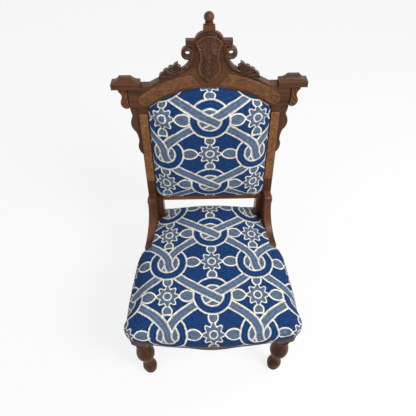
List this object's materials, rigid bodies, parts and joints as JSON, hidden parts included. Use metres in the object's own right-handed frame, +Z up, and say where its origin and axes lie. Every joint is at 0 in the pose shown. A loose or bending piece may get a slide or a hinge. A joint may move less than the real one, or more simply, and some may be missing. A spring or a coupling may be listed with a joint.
{
  "type": "upholstered side chair",
  "caption": "Armless walnut parlour chair with carved crest, ball finial, eared and scalloped back, hip brackets, turned front legs and a blue patterned upholstered seat and back.",
  "frame": {"origin": "on the floor, at the middle of the chair's bounding box", "axes": "+Z up, the sitter faces -Y, +X to the right of someone who looks at the chair's front"},
  "size_m": [0.4816, 0.5382, 1.0004],
  "materials": {
    "walnut": "dark red-brown walnut, satin shellac",
    "burl_veneer": "figured golden burl veneer, polished",
    "secondary_wood": "plain beech, unfinished, inside the frame",
    "cover_fabric": "navy, slate-blue and cream stitched strapwork pattern",
    "webbing": "jute webbing",
    "hessian": "plain hessian",
    "stuffing": "hair and cotton stuffing",
    "dust_cloth": "black cambric",
    "steel": "coppered steel wire and plain screws"
  },
  "bodies": {
    "root": {"left_back_post": "walnut", "right_back_post": "walnut", "crest_rail": "walnut", "lower_back_rail": "walnut", "crest_pediment": "walnut", "crest_shield": "walnut", "crest_finial": "walnut", "left_scroll": "walnut", "right_scroll": "walnut", "left_leaf_spray": "walnut", "right_leaf_spray": "walnut", "left_ear_cap": "walnut", "right_ear_cap": "walnut", "left_ear_corbel": "walnut", "right_ear_corbel": "walnut", "left_stile_wing": "walnut", "right_stile_wing": "walnut", "left_hip_bracket": "walnut", "right_hip_bracket": "walnut", "left_front_leg": "walnut", "right_front_leg": "walnut", "front_rail": "walnut", "left_side_rail": "walnut", "right_side_rail": "walnut", "left_crest_panel": "burl_veneer", "right_crest_panel": "burl_veneer", "left_stile_panel": "burl_veneer", "right_stile_panel": "burl_veneer", "rear_rail": "secondary_wood", "corner_blocks": "secondary_wood", "crest_dowels": "secondary_wood", "ear_pins": "secondary_wood", "pediment_pins": "secondary_wood", "side_rail_dowels": "secondary_wood", "front_rail_dowels": "secondary_wood", "rear_rail_dowels": "secondary_wood", "bracket_pins": "secondary_wood", "seat_cover": "cover_fabric", "back_cover": "cover_fabric", "outside_back_cover": "cover_fabric", "long_seat_webs": "webbing", "cross_seat_webs": "webbing", "back_webs_across": "webbing", "back_webs_up": "webbing", "seat_hessian": "hessian", "back_hessian": "hessian", "seat_stuffing": "stuffing", "back_stuffing": "stuffing", "dust_cover": "dust_cloth", "seat_springs": "steel", "corner_screws": "steel"}
  },
  "joints": []
}
